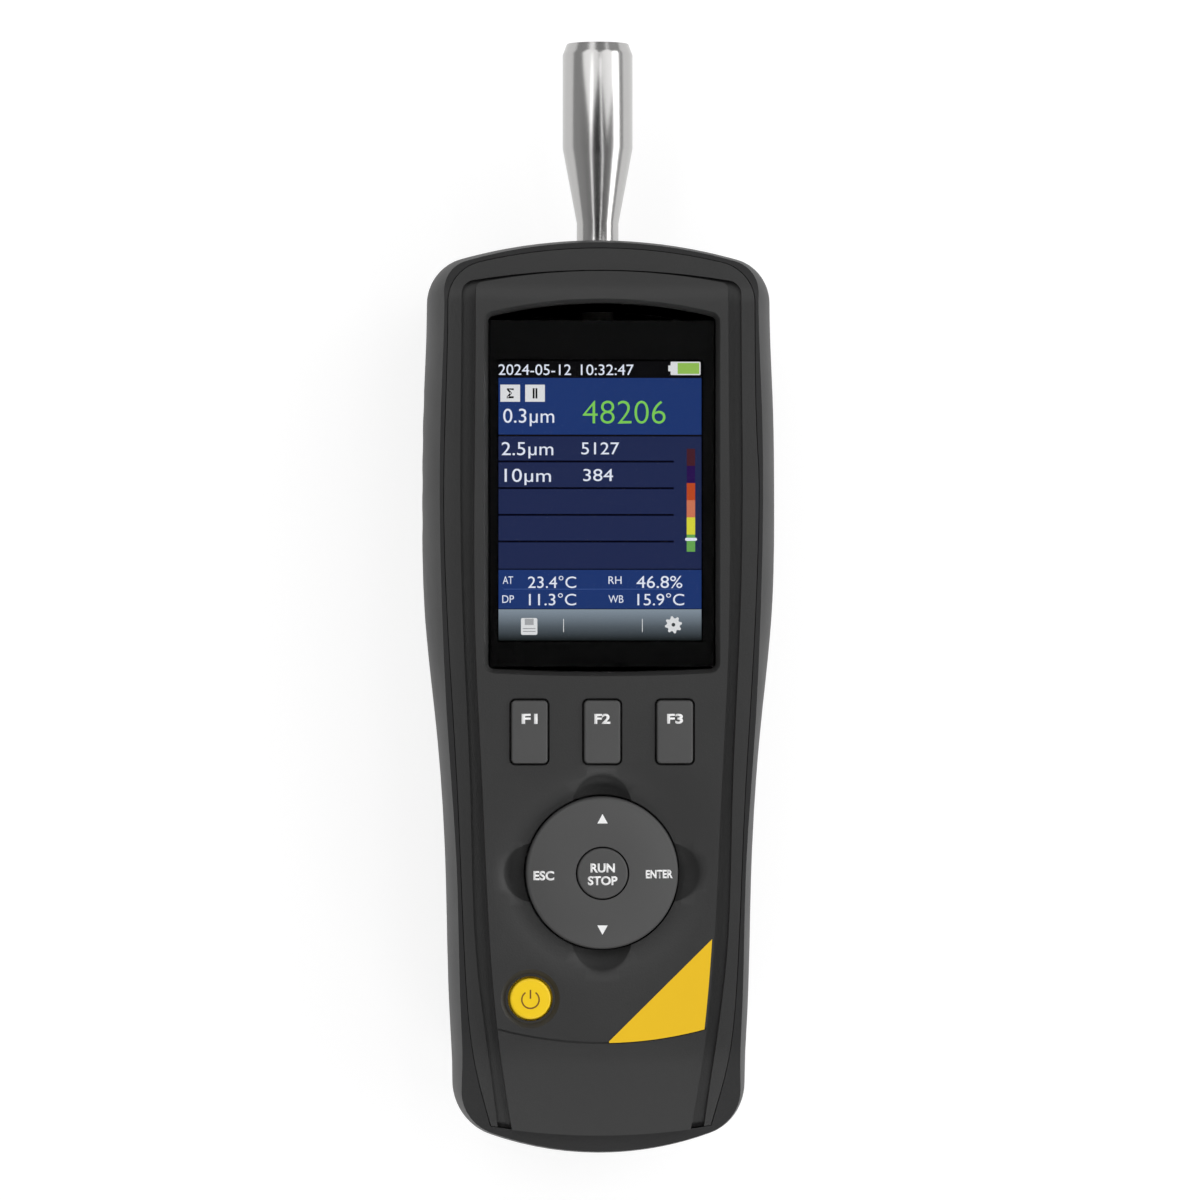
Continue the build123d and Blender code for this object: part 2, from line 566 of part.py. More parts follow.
def make_power_key():
    cap = upright(0, 0, POWER_R, PANEL_UNDER_Z - 0.8, PANEL_Z + 0.5)
    cap = fillet(cap.faces().sort_by(Axis.Z)[-1].edges(), 0.5)
    cap += upright(0, 0, POWER_R + 1.2, PANEL_UNDER_Z - 1.3, PANEL_UNDER_Z - 0.2)
    cap += upright(0, 0, 1.8, KEY_FOOT_Z, PANEL_UNDER_Z - 1)
    return Pos(POWER_X, POWER_Y, 0) * cap


def make_accent_inlay():
    return prism(inlay_face(), PANEL_Z - INLAY_THICKNESS, PANEL_Z + 0.05)


def dome_places():
    places = [(x, FUNCTION_KEY_Y) for x in FUNCTION_KEY_XS] + [(0, NAV_Y), (POWER_X, POWER_Y)]
    reach = NAV_R - 4.6
    places += [(reach, NAV_Y), (-reach, NAV_Y), (0, NAV_Y + reach), (0, NAV_Y - reach)]
    return places


def make_keypad_mat():
    mat = block(-20.8, 20.8, POWER_Y - 7, FUNCTION_KEY_Y + 8.2, BOARD_TOP, MAT_TOP)
    for x, y in dome_places():
        mat += Pos(x, y, MAT_TOP - 0.1) * extrude(Circle(2.9), amount=DOME_Z - MAT_TOP + 0.1, taper=25)
    return mat


def board_posts():
    return [(-22.5, BOARD_LOW + 4), (22.5, BOARD_LOW + 4), (-24.3, -20.0), (24.3, -20.0)]


def make_main_board():
    board = block(-BOARD_HALF_WIDTH, BOARD_HALF_WIDTH, BOARD_LOW, BOARD_HIGH, BOARD_Z, BOARD_TOP)
    board = fillet(board.edges().filter_by(Axis.Z), 1.5)
    for x, y in SCREW_POSTS:
        board -= upright(x, y, 3.9, BOARD_Z - 1, BOARD_TOP + 1)
    for x, y in board_posts():
        board -= upright(x, y, 1.2, BOARD_Z - 1, BOARD_TOP + 1)
    for x, y, width, height, thickness in CHIPS:
        board += Pos(x, y, BOARD_Z - thickness / 2) * Box(width, height, thickness)
    return board


def make_board_screws():
    screws = []
    for x, y in board_posts():
        head = upright(x, y, 2.2, BOARD_Z - 1.5, BOARD_Z)
        shank = upright(x, y, 1.0, BOARD_Z - 0.5, BOARD_TOP + 2.0)
        screws.append(head + shank)
    return Compound(children=screws)


# ----------------------------------------------------------------------------- probe and inlet
def turned_y(points):
    """A solid turned about the probe's axis from half a profile of (radius, y) points."""
    face = make_face(Polyline(*points, close=True))
    return Pos(0, 0, PROBE_Z) * revolve(face, Axis.Y)


def make_isokinetic_probe():
    mouth = LENGTH / 2
    shoulder = mouth - PROBE_TUBE_LENGTH - PROBE_CHAMFER[1]
    neck = shoulder - PROBE_CONE_LENGTH
    seat = HIGH_END - NECK_SEAT + 0.5
    bore_end = mouth - PROBE_MOUTH_DEPTH
    return turned_y([
        (PROBE_R - PROBE_CHAMFER[0], mouth), (PROBE_R, mouth - PROBE_CHAMFER[1]), (PROBE_R, shoulder),
        (NECK_R, neck), (NECK_R, seat), (SPIGOT_R + 0.1, seat), (SPIGOT_R + 0.1, seat + 6),
        (AIRWAY_R, seat + 6), (AIRWAY_R, neck + 6), (PROBE_MOUTH_R, bore_end), (PROBE_MOUTH_R, mouth),
    ])


def make_inlet_fitting():
    tip = HIGH_END - NECK_SEAT + 6.2
    flange = HIGH_WALL_Y - 0.9
    return turned_y([
        (AIRWAY_R, tip), (SPIGOT_R, tip), (SPIGOT_R, flange), (6.5, flange), (6.5, flange - 2.5),
        (2.4, flange - 2.5), (2.4, flange - 8), (AIRWAY_R, flange - 8),
    ])


def make_probe_seal():
    low = HIGH_END - NECK_SEAT
    inner, outer = SPIGOT_R + 0.05, NECK_R + 0.3
    return turned_y([(inner, low), (outer, low), (outer, low + 0.5), (inner, low + 0.5)])


def chamber_front_y():
    return CHAMBER_Y + CHAMBER_SIZE[1] / 2


def make_inlet_tube():
    start, end = HIGH_WALL_Y - 0.9 - 2.8, chamber_front_y()
    return turned_y([(2.5, start), (3.4, start), (3.4, end), (2.5, end)])


def make_optical_chamber():
    width, length, height = CHAMBER_SIZE
    half = width / 2
    body = Pos(0, CHAMBER_Y, PROBE_Z) * Box(width, length, height)
    body = fillet(body.edges().filter_by(Axis.Z), 2.0)
    body -= along_y(0, PROBE_Z, AIRWAY_R, CHAMBER_Y - length, CHAMBER_Y + length)
    body -= along_x(CHAMBER_Y, PROBE_Z, LASER_R + 0.05, -half - 1, -half + 9)
    body -= along_x(CHAMBER_Y, PROBE_Z, 2.0, -half, half - 6)
    body -= upright(0, CHAMBER_Y, 5.0, PROBE_Z, PROBE_Z + height)
    # Feet down to the back of the housing.
    for x in (-half + 3, half - 3):
        for y in (CHAMBER_Y - length / 2 + 3, CHAMBER_Y + length / 2 - 3):
            body += upright(x, y, 2.6, WALL + 0.05, PROBE_Z - height / 2 + 0.5)
    return body


def make_laser_module():
    face = -CHAMBER_SIZE[0] / 2 + 8.8
    body = along_x(CHAMBER_Y, PROBE_Z, LASER_R, face - LASER_LENGTH, face)
    return body + along_x(CHAMBER_Y, PROBE_Z, 3.0, face - LASER_LENGTH - 2, face - LASER_LENGTH)


def make_collecting_lens():
    mid = PROBE_Z + CHAMBER_SIZE[2] / 2 - 4
    lens = Cylinder(4.9, 6) & Pos(0, 0, -7.2) * Sphere(9) & Pos(0, 0, 7.2) * Sphere(9)
    return Pos(0, CHAMBER_Y, mid) * lens


def make_detector_board():
    top = PROBE_Z + CHAMBER_SIZE[2] / 2
    board = block(-13, 13, CHAMBER_Y - 11, CHAMBER_Y + 11, top, top + 1.2)
    board += upright(0, CHAMBER_Y, 2.6, top - 2.2, top)
    return board + block(-6, 2, CHAMBER_Y + 4, CHAMBER_Y + 8, top + 1.2, top + 1.6)


def make_pump():
    width, length, height = PUMP_SIZE
    body = block(PUMP_X - width / 2, PUMP_X + width / 2, PUMP_Y - length / 2, PUMP_Y + 6,
                 PUMP_Z - height / 2, PUMP_Z + height / 2)
    body = fillet(body.edges().filter_by(Axis.Y), 2.5)
    motor_end = PUMP_Y + length / 2
    body += along_y(PUMP_X, PUMP_Z, 10.4, PUMP_Y + 5, motor_end)
    body += along_y(PUMP_X, PUMP_Z, 3.0, motor_end, motor_end + 1.5)
    for y in (PUMP_Y - 13, PUMP_Y - 3):
        body += along_x(y, PUMP_Z, HOSE_BORE + 0.4, PUMP_X - width / 2 - 1.2, PUMP_X - width / 2 + 1)
    foot = HOLLOW_DEPTH + WALL + 0.05
    for y in (PUMP_Y - 12, PUMP_Y + 1):
        body += block(PUMP_X - 9, PUMP_X + 9, y - 2, y + 2, foot, PUMP_Z - height / 2 + 0.5)
    return body


def hose(points, radii):
    """Round hose along straight runs joined by tangent arcs."""
    path = FilletPolyline(*points, radius=radii)
    ring = Circle(HOSE_R) - Circle(HOSE_BORE + 0.45)
    start = Plane(origin=points[0], z_dir=(Vector(*points[1]) - Vector(*points[0])))
    return sweep(start * ring, path=path)


def pump_port(y):
    return (PUMP_X - PUMP_SIZE[0] / 2 - 0.3, y, PUMP_Z)


def make_suction_hose():
    """Chamber outlet to the pump's inlet."""
    x, y, z = pump_port(PUMP_Y - 3)
    outlet_y = CHAMBER_Y - CHAMBER_SIZE[1] / 2 - 0.05
    corner_x = x - 7.5
    return hose([(0, outlet_y, PROBE_Z), (0, outlet_y - 12, PROBE_Z), (corner_x, y + 14, (PROBE_Z + z) / 2),
                 (corner_x, y, z), (x, y, z)], [5.0, 6.0, 6.5])


def make_exhaust_hose():
    """Pump outlet to the exhaust filter."""
    x, y, z = pump_port(PUMP_Y - 13)
    end_y = FILTER_Y - FILTER_LENGTH / 2 - 4.2
    turn = (FILTER_X + 5, end_y - 9, z)
    return hose([(x, y, z), (x - 9, y, z), turn, (FILTER_X, end_y - 4, z), (FILTER_X, end_y, z)], [4.5, 4.5, 2.5])


def make_exhaust_filter():
    low, high = FILTER_Y - FILTER_LENGTH / 2, FILTER_Y + FILTER_LENGTH / 2
    barb, step = HOSE_BORE + 0.35, 1.5
    profile = Polyline(
        (0, low - 4), (barb, low - 4), (barb, low), (FILTER_R - step, low), (FILTER_R, low + step),
        (FILTER_R, high - step), (FILTER_R - step, high), (barb, high), (barb, high + 5), (0, high + 5), close=True)
    body = Pos(FILTER_X, 0, PUMP_Z) * revolve(make_face(profile), Axis.Y)
    foot = WALL + HOLLOW_DEPTH + 0.05
    for y in (low + 4, high - 4):
        body += block(FILTER_X - 3, FILTER_X + 3, y - 1.2, y + 1.2, foot, PUMP_Z - FILTER_R + 0.6)
    return body


# ----------------------------------------------------------------------------- power and sockets
BAY_FLOOR = DOOR_THICKNESS + 0.4


def make_battery_pack():
    """Two wrapped cells side by side with their end board."""
    low = BAY_LOW + BAY_WALL + 0.8
    cells = [along_y(x, BAY_FLOOR + CELL_R, CELL_R, low, low + CELL_LENGTH) for x in (-CELL_R, CELL_R)]
    web = block(-CELL_R, CELL_R, low, low + CELL_LENGTH, BAY_FLOOR + 2, BAY_FLOOR + 2 * CELL_R - 2)
    return cells[0] + cells[1] + web


def make_battery_contacts():
    """Three leaf contacts on their carrier in the high end of the bay."""
    face = BAY_HIGH - 0.05
    carrier = block(-12, 12, face - 1.6, face, BAY_FLOOR + 2, BAY_FLOOR + 14)
    pack_end = BAY_LOW + BAY_WALL + 0.8 + CELL_LENGTH
    for x in (-8, 0, 8):
        carrier += block(x - 1.5, x + 1.5, pack_end + 0.1, face - 1.5, BAY_FLOOR + 6, BAY_FLOOR + 6.4)
    return carrier


def make_battery_door():
    plate = OUTER & block(-DOOR_HALF_WIDTH, DOOR_HALF_WIDTH, LOW_END - 2, DOOR_HIGH, -1, DOOR_THICKNESS)
    plate += OUTER & tongue_blocks(0)
    # Thumb ridges, cut as shallow grooves.
    for i in range(5):
        y = DOOR_HIGH - 8 - 2.4 * i
        plate -= block(-9, 9, y - 0.6, y + 0.6, -1, 0.6)
    return plate


def make_port_cover():
    return OUTER & port_block(PORT_COVER, 0, LOW_END - 1, LOW_END + PORT_COVER[2])


def make_io_board():
    face = PORT_FACE_Y + 1.65
    board = block(-14, 14, face, face + 1.6, PORT_Z - 7, PORT_Z + 7)
    return board


def make_usb_connector():
    face = PORT_FACE_Y + 1.6
    x0, x1 = USB_X - 3.8, USB_X + 3.8
    body = block(x0, x1, face - 1.4, face + 0.05, PORT_Z - 1.6, PORT_Z + 1.6)
    return body - block(x0 + 0.5, x1 - 0.5, face - 2, face - 0.4, PORT_Z - 1.1, PORT_Z + 1.1)


def make_power_jack():
    face = PORT_FACE_Y + 1.6
    body = along_y(JACK_X, PORT_Z, 3.1, face - 1.5, face + 0.05)
    body -= along_y(JACK_X, PORT_Z, 2.6, face - 2, face - 0.4)
    return body + along_y(JACK_X, PORT_Z, 0.7, face - 1.4, face)


# ----------------------------------------------------------------------------- small pieces
def make_vent_screen(side):
    """Dust gauze strip behind the slots of one side."""
    inner = housing_form(WALL + 0.1, CAVITY_LEVELS)
    deeper = housing_form(WALL + 0.8, CAVITY_LEVELS)
    span = VENT_PITCH * (VENT_COUNT - 1)
    strip = Pos(side * 36, VENT_FIRST_Y + span / 2, VENT_MID_Z) * Box(16, span + 10, VENT_SIZE[1] + 3)
    return (inner - deeper) & strip


def make_climate_sensor():
    """Temperature and humidity board, edge-on behind the right-hand slots."""
    x = SIDE_STATIONS[4][1] - WALL - 2.7     # its sensor reaches almost to the gauze
    board = block(x - 1.0, x, 18, 36, VENT_MID_Z - 6, VENT_MID_Z + 6)
    return board + block(x, x + 1.2, 24, 28, VENT_MID_Z - 2, VENT_MID_Z + 2)


def make_tripod_insert():
    ring = upright(0, TRIPOD_Y, TRIPOD_INSERT_R - 0.02, 0.4, 0.4 + TRIPOD_LENGTH)
    return ring - upright(0, TRIPOD_Y, TRIPOD_BORE_R, 0, 0.4 + TRIPOD_LENGTH - 1)


def make_housing_screws():
    screws = []
    for x, y in SCREW_POSTS:
        head = upright(x, y, SCREW_HEAD_R, SCREW_SEAT_Z - SCREW_HEAD, SCREW_SEAT_Z)
        head -= upright(x, y, 1.2, SCREW_SEAT_Z - SCREW_HEAD - 1, SCREW_SEAT_Z - SCREW_HEAD + 1.2)
        shank = upright(x, y, 1.22, SCREW_SEAT_Z - 0.5, POST_SPLIT_Z + 12)
        screws.append(head + shank)
    return Compound(children=screws)


def make_buzzer():
    z = BOARD_Z - 3.2
    return upright(BUZZER_X, BUZZER_Y, 4.5, z, BOARD_Z) - upright(BUZZER_X, BUZZER_Y, 0.9, z - 1, z + 1)


PARTS = {
    "rear_housing": make_rear_housing,
    "front_housing": make_front_housing,
    "display_window": make_display_window,
    "display_gasket": make_display_gasket,
    "display_module": make_display_module,
    "navigation_key": make_navigation_key,
    "navigation_rocker": make_navigation_rocker,
    "run_stop_key": make_run_stop_key,
    "power_key": make_power_key,
    "accent_inlay": make_accent_inlay,
    "keypad_mat": make_keypad_mat,
    "main_board": make_main_board,
    "board_screws": make_board_screws,
    "isokinetic_probe": make_isokinetic_probe,
    "inlet_fitting": make_inlet_fitting,
    "probe_seal": make_probe_seal,
    "inlet_tube": make_inlet_tube,
    "optical_chamber": make_optical_chamber,
    "laser_module": make_laser_module,
    "collecting_lens": make_collecting_lens,
    "detector_board": make_detector_board,
    "pump": make_pump,
    "suction_hose": make_suction_hose,
    "exhaust_hose": make_exhaust_hose,
    "exhaust_filter": make_exhaust_filter,
    "battery_pack": make_battery_pack,
    "battery_contacts": make_battery_contacts,
    "battery_door": make_battery_door,
    "port_cover": make_port_cover,
    "io_board": make_io_board,
    "usb_connector": make_usb_connector,
    "power_jack": make_power_jack,
    "climate_sensor": make_climate_sensor,
    "tripod_insert": make_tripod_insert,
    "housing_screws": make_housing_screws,
    "buzzer": make_buzzer,
}


def main():
    os.makedirs("parts", exist_ok=True)
    solids = {name: make() for name, make in PARTS.items()}
    for number, x in enumerate(FUNCTION_KEY_XS, start=1):
        solids[f"function_key_{number}"] = make_function_key(x)
    for name, side in (("left", -1), ("right", 1)):
        solids[f"vent_screen_{name}"] = make_vent_screen(side)
    for name, solid in solids.items():
        solid.label = name
        export_step(solid, f"parts/{name}.step")


main()
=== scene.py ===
import json
import math

import bpy
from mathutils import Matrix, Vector


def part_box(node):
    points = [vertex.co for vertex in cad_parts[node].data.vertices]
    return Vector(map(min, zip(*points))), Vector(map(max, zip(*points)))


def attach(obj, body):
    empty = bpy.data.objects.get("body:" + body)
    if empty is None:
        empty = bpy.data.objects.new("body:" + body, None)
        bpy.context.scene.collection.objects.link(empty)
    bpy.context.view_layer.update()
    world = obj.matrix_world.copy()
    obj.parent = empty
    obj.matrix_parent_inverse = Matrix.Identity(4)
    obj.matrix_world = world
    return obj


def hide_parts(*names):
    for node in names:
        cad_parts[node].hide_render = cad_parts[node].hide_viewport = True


# Looks of the handheld airborne particle counter. It lies on its back, display up, probe along +Y.
# The frame is in metres. Sizes in this file are in millimetres, apart from the room and the lamps.
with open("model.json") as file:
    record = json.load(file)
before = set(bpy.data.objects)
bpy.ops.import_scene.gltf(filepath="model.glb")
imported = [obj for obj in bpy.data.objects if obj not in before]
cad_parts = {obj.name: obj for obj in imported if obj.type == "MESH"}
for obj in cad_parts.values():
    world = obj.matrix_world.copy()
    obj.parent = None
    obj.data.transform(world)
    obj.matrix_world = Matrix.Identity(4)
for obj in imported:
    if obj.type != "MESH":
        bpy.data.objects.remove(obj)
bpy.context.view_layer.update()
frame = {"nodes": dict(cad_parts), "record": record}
nodes = frame["nodes"]
MM = 0.001

# --- display ------------------------------------------------------------------------
SCREEN_MID_X, SCREEN_TOP_Y, SCREEN_LOW_Y = -0.3, 50.4, -9.3
SCREEN_HALF = 21.7
HEADER_TOP, HEADER_LOW = 46.8, 34.7
ROW_PITCH, ROW_COUNT, ROW_LINE = 5.7, 5, 0.42
ROW_LINE_END = 15.8
CLIMATE_TOP, CLIMATE_LOW = 5.9, -2.5
BAR_X, BAR_TOP, BAR_STEP = (18.55, 20.35), 31.7, 3.67
LAYER = 0.04                     # height of one printed or lit layer on the screen
TEXT_CAP = 2.6                   # height of the figures in the rows

# --- legends ------------------------------------------------------------------------
INK = 0.02                       # thickness of printed legends
ARROW_UP_R, ARROW_DOWN_R = 10.6, 11.1    # foot of each arrow from the middle of the key
KEY_LEGEND_UP = 2.8              # legend of a function key above its middle
RUN_SINK, RUN_TOP_BAND = 0.05, 0.9       # the run/stop cap's top sinks to make room for its print

LEGEND_WEIGHT = 0.035            # thickening of the letters on the keys
INK_LIFT = 0.004                 # gap between a key and its print

# --- meshes ---------------------------------------------------------------------------
CREASE = math.radians(38.0)      # edges sharper than this stay sharp
MERGE = 0.002                    # points closer than this become one
DROP_FROM = 58.0                 # flat legends start here and are laid down on their key

# --- camera and room ------------------------------------------------------------------
CAMERA_TARGET = (0.4, -0.65, 33.0)
CAMERA_REACH, CAMERA_LEAN = 1300.0, math.radians(2.3)
LENS, SENSOR = 180.0, 36.0
FLOOR_GREY, FLOOR_GLOW = 0.35, 0.76      # what the floor returns, and what it adds where it is seen
# Brightness of the room at heights from the horizon (0) to overhead (1).
SKY = [(0.0, 0.40), (0.35, 0.42), (0.75, 0.30), (0.93, 0.10), (0.985, 0.0)]
LAMPS_AIM = (0, 0, 0.03)
# Name, place in metres, depth towards the object, length across, power.
LAMPS = [
    ("Right softbox", (1.00, 0.10, 0.55), 0.4, 1.3, 5.6),
    ("Foot softbox", (0.10, -0.90, 0.80), 0.3, 0.9, 3.8),
    ("Head left softbox", (-0.45, 0.60, 1.00), 0.9, 0.9, 3.4),
    ("Head right softbox", (0.60, 0.55, 1.00), 0.8, 0.8, 2.7),
    ("Right overhead strip", (0.21, 0.05, 1.0), 0.05, 1.0, 0.55),
    ("Left overhead strip", (-0.42, 0.05, 1.0), 0.12, 1.0, 0.80),
]


# ----------------------------------------------------------------------------- helpers
def select_only(piece):
    bpy.ops.object.select_all(action="DESELECT")
    piece.select_set(True)
    bpy.context.view_layer.objects.active = piece


def apply_place(piece):
    select_only(piece)
    bpy.ops.object.transform_apply(location=True, rotation=True, scale=True)


def apply_modifiers(piece):
    select_only(piece)
    for modifier in list(piece.modifiers):
        bpy.ops.object.modifier_apply(modifier=modifier.name)


def body_of(node):
    for body, members in frame["record"]["behaviour"]["bodies"].items():
        if node in members:
            return body


def slot_of(node):
    for part in frame["record"]["subparts"]:
        if part["node"] == node:
            return part["material_slot"]


def corners(node):
    """Lowest and highest corner of a CAD node, in millimetres."""
    low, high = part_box(node)
    return low / MM, high / MM


def add_to(piece, material, node):
    """Gives the piece its material and lets it move with the body of a CAD node."""
    piece.data.materials.clear()
    piece.data.materials.append(material)
    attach(piece, body_of(node))
    return piece


# ----------------------------------------------------------------------------- materials
def socket(group, name, kind, way):
    return group.interface.new_socket(name=name, in_out=way, socket_type=kind)


def link(tree, from_node, output, to_node, target):
    tree.links.new(from_node.outputs[output], to_node.inputs[target])


def surface_group():
    """Shader node group: fine grain in relief, and a slow mottle for colour and roughness."""
    group = bpy.data.node_groups.new("Surface grain", "ShaderNodeTree")
    for name in ("Grain", "Relief", "Mottle"):
        socket(group, name, "NodeSocketFloat", "INPUT")
    socket(group, "Colour", "NodeSocketColor", "INPUT")
    socket(group, "Variation", "NodeSocketFloat", "INPUT")
    socket(group, "Roughness", "NodeSocketFloat", "INPUT")
    socket(group, "Colour", "NodeSocketColor", "OUTPUT")
    socket(group, "Roughness", "NodeSocketFloat", "OUTPUT")
    socket(group, "Normal", "NodeSocketVector", "OUTPUT")
    start = group.nodes.new("NodeGroupInput")
    end = group.nodes.new("NodeGroupOutput")
    place = group.nodes.new("ShaderNodeTexCoord")
    fine = group.nodes.new("ShaderNodeTexNoise")
    fine.inputs["Detail"].default_value = 2.0
    slow = group.nodes.new("ShaderNodeTexNoise")
    slow.inputs["Detail"].default_value = 4.0
    bump = group.nodes.new("ShaderNodeBump")
    bump.inputs["Strength"].default_value = 1.0
    link(group, place, "Object", fine, "Vector")
    link(group, place, "Object", slow, "Vector")
    link(group, start, "Grain", fine, "Scale")
    link(group, start, "Mottle", slow, "Scale")
    link(group, start, "Relief", bump, "Distance")
    link(group, fine, "Fac", bump, "Height")
    link(group, bump, "Normal", end, "Normal")
    spread = group.nodes.new("ShaderNodeMath")
    spread.operation = "MULTIPLY_ADD"
    spread.inputs[1].default_value = 2.0
    spread.inputs[2].default_value = -1.0
    link(group, slow, "Fac", spread, 0)
    amount = group.nodes.new("ShaderNodeMath")
    amount.operation = "MULTIPLY_ADD"
    amount.inputs[2].default_value = 1.0
    link(group, spread, "Value", amount, 0)
    link(group, start, "Variation", amount, 1)
    tint = group.nodes.new("ShaderNodeVectorMath")
    tint.operation = "SCALE"
    link(group, start, "Colour", tint, 0)
    link(group, amount, "Value", tint, "Scale")
    link(group, tint, "Vector", end, "Colour")
    rough = group.nodes.new("ShaderNodeMath")
    rough.operation = "MULTIPLY"
    link(group, start, "Roughness", rough, 0)
    link(group, amount, "Value", rough, 1)
    link(group, rough, "Value", end, "Roughness")
    return group


GRAIN = surface_group()


def new_material(name):
    material = bpy.data.materials.new(name)
    material.use_nodes = True
    tree = material.node_tree
    shader = tree.nodes["Principled BSDF"]
    return material, tree, shader


def grained(name, colour, roughness, grain=2200.0, relief=0.00002, mottle=60.0, variation=0.10,
            **values):
    """A surface with moulded or cast grain: cells per metre, and relief in metres."""
    material, tree, shader = new_material(name)
    effect = tree.nodes.new("ShaderNodeGroup")
    effect.node_tree = GRAIN
    effect.inputs["Grain"].default_value = grain
    effect.inputs["Relief"].default_value = relief
    effect.inputs["Mottle"].default_value = mottle
    effect.inputs["Variation"].default_value = variation
    effect.inputs["Roughness"].default_value = roughness
    effect.inputs["Colour"].default_value = (*colour, 1)
    link(tree, effect, "Colour", shader, "Base Color")
    link(tree, effect, "Roughness", shader, "Roughness")
    link(tree, effect, "Normal", shader, "Normal")
    for key, value in values.items():
        shader.inputs[key.replace("_", " ")].default_value = value
    material.diffuse_color = (*colour, 1)
    return material


def turned(name, colour, roughness, lines=5200.0, relief=0.0000016):
    """Lathe-turned metal: fine rings round the Y axis."""
    material, tree, shader = new_material(name)
    place = tree.nodes.new("ShaderNodeTexCoord")
    split = tree.nodes.new("ShaderNodeSeparateXYZ")
    rings = tree.nodes.new("ShaderNodeTexNoise")
    rings.noise_dimensions = "1D"
    rings.inputs["Scale"].default_value = lines
    rings.inputs["Detail"].default_value = 3.0
    bump = tree.nodes.new("ShaderNodeBump")
    bump.inputs["Distance"].default_value = relief
    rough = tree.nodes.new("ShaderNodeMapRange")
    rough.inputs["To Min"].default_value = roughness * 0.8
    rough.inputs["To Max"].default_value = roughness * 1.25
    link(tree, place, "Object", split, "Vector")
    link(tree, split, "Y", rings, "W")
    link(tree, rings, "Fac", bump, "Height")
    link(tree, rings, "Fac", rough, "Value")
    link(tree, rough, "Result", shader, "Roughness")
    link(tree, bump, "Normal", shader, "Normal")
    shader.inputs["Base Color"].default_value = (*colour, 1)
    shader.inputs["Metallic"].default_value = 1.0
    material.diffuse_color = (*colour, 1)
    return material


def clear(name, tint, roughness=0.02):
    material, tree, shader = new_material(name)
    shader.inputs["Base Color"].default_value = (*tint, 1)
    shader.inputs["Roughness"].default_value = roughness
    shader.inputs["Transmission Weight"].default_value = 1.0
    shader.inputs["IOR"].default_value = 1.49
    return material


def lit(name, colour, strength=1.0):
    """A part of the lit screen: its own light over black."""
    material, tree, shader = new_material(name)
    shader.inputs["Base Color"].default_value = (0.002, 0.002, 0.002, 1)
    shader.inputs["Roughness"].default_value = 0.5
    shader.inputs["Specular IOR Level"].default_value = 0.0
    shader.inputs["Emission Color"].default_value = (*colour, 1)
    shader.inputs["Emission Strength"].default_value = strength
    material.diffuse_color = (*colour, 1)
    return material


def srgb(*levels):
    """Linear colour from 0..255 display levels."""
    return tuple(((v / 255 + 0.055) / 1.055) ** 2.4 if v > 10 else v / 255 / 12.92 for v in levels)


def lit_fade(name, high, low, top_y, low_y):
    """A lit strip that fades along Y between two colours."""
    material, tree, shader = new_material(name)
    place = tree.nodes.new("ShaderNodeTexCoord")
    split = tree.nodes.new("ShaderNodeSeparateXYZ")
    span = tree.nodes.new("ShaderNodeMapRange")
    span.inputs["From Min"].default_value = low_y * MM
    span.inputs["From Max"].default_value = top_y * MM
    ramp = tree.nodes.new("ShaderNodeValToRGB")
    ramp.color_ramp.elements[0].color = (*low, 1)
    ramp.color_ramp.elements[1].color = (*high, 1)
    ramp.color_ramp.elements.new(0.45).color = (*(0.35 * h + 0.65 * l for h, l in zip(high, low)), 1)
    link(tree, place, "Object", split, "Vector")
    link(tree, split, "Y", span, "Value")
    link(tree, span, "Result", ramp, "Fac")
    link(tree, ramp, "Color", shader, "Emission Color")
    shader.inputs["Base Color"].default_value = (0.002, 0.002, 0.002, 1)
    shader.inputs["Specular IOR Level"].default_value = 0.0
    shader.inputs["Emission Strength"].default_value = 1.0
    return material


def woven(name, colour, pitch=0.0006):
    """Fine wire gauze: crossed wires in relief."""
    material, tree, shader = new_material(name)
    place = tree.nodes.new("ShaderNodeTexCoord")
    heights = []
    for axis in ("Y", "Z"):
        wave = tree.nodes.new("ShaderNodeTexWave")
        wave.bands_direction = axis
        wave.inputs["Scale"].default_value = 0.05 / pitch
        link(tree, place, "Object", wave, "Vector")
        heights.append(wave)
    top = tree.nodes.new("ShaderNodeMath")
    top.operation = "MAXIMUM"
    link(tree, heights[0], "Fac", top, 0)
    link(tree, heights[1], "Fac", top, 1)
    bump = tree.nodes.new("ShaderNodeBump")
    bump.inputs["Distance"].default_value = 0.0001
    link(tree, top, "Value", bump, "Height")
    link(tree, bump, "Normal", shader, "Normal")
    shader.inputs["Base Color"].default_value = (*colour, 1)
    shader.inputs["Metallic"].default_value = 0.6
    shader.inputs["Roughness"].default_value = 0.55
    return material


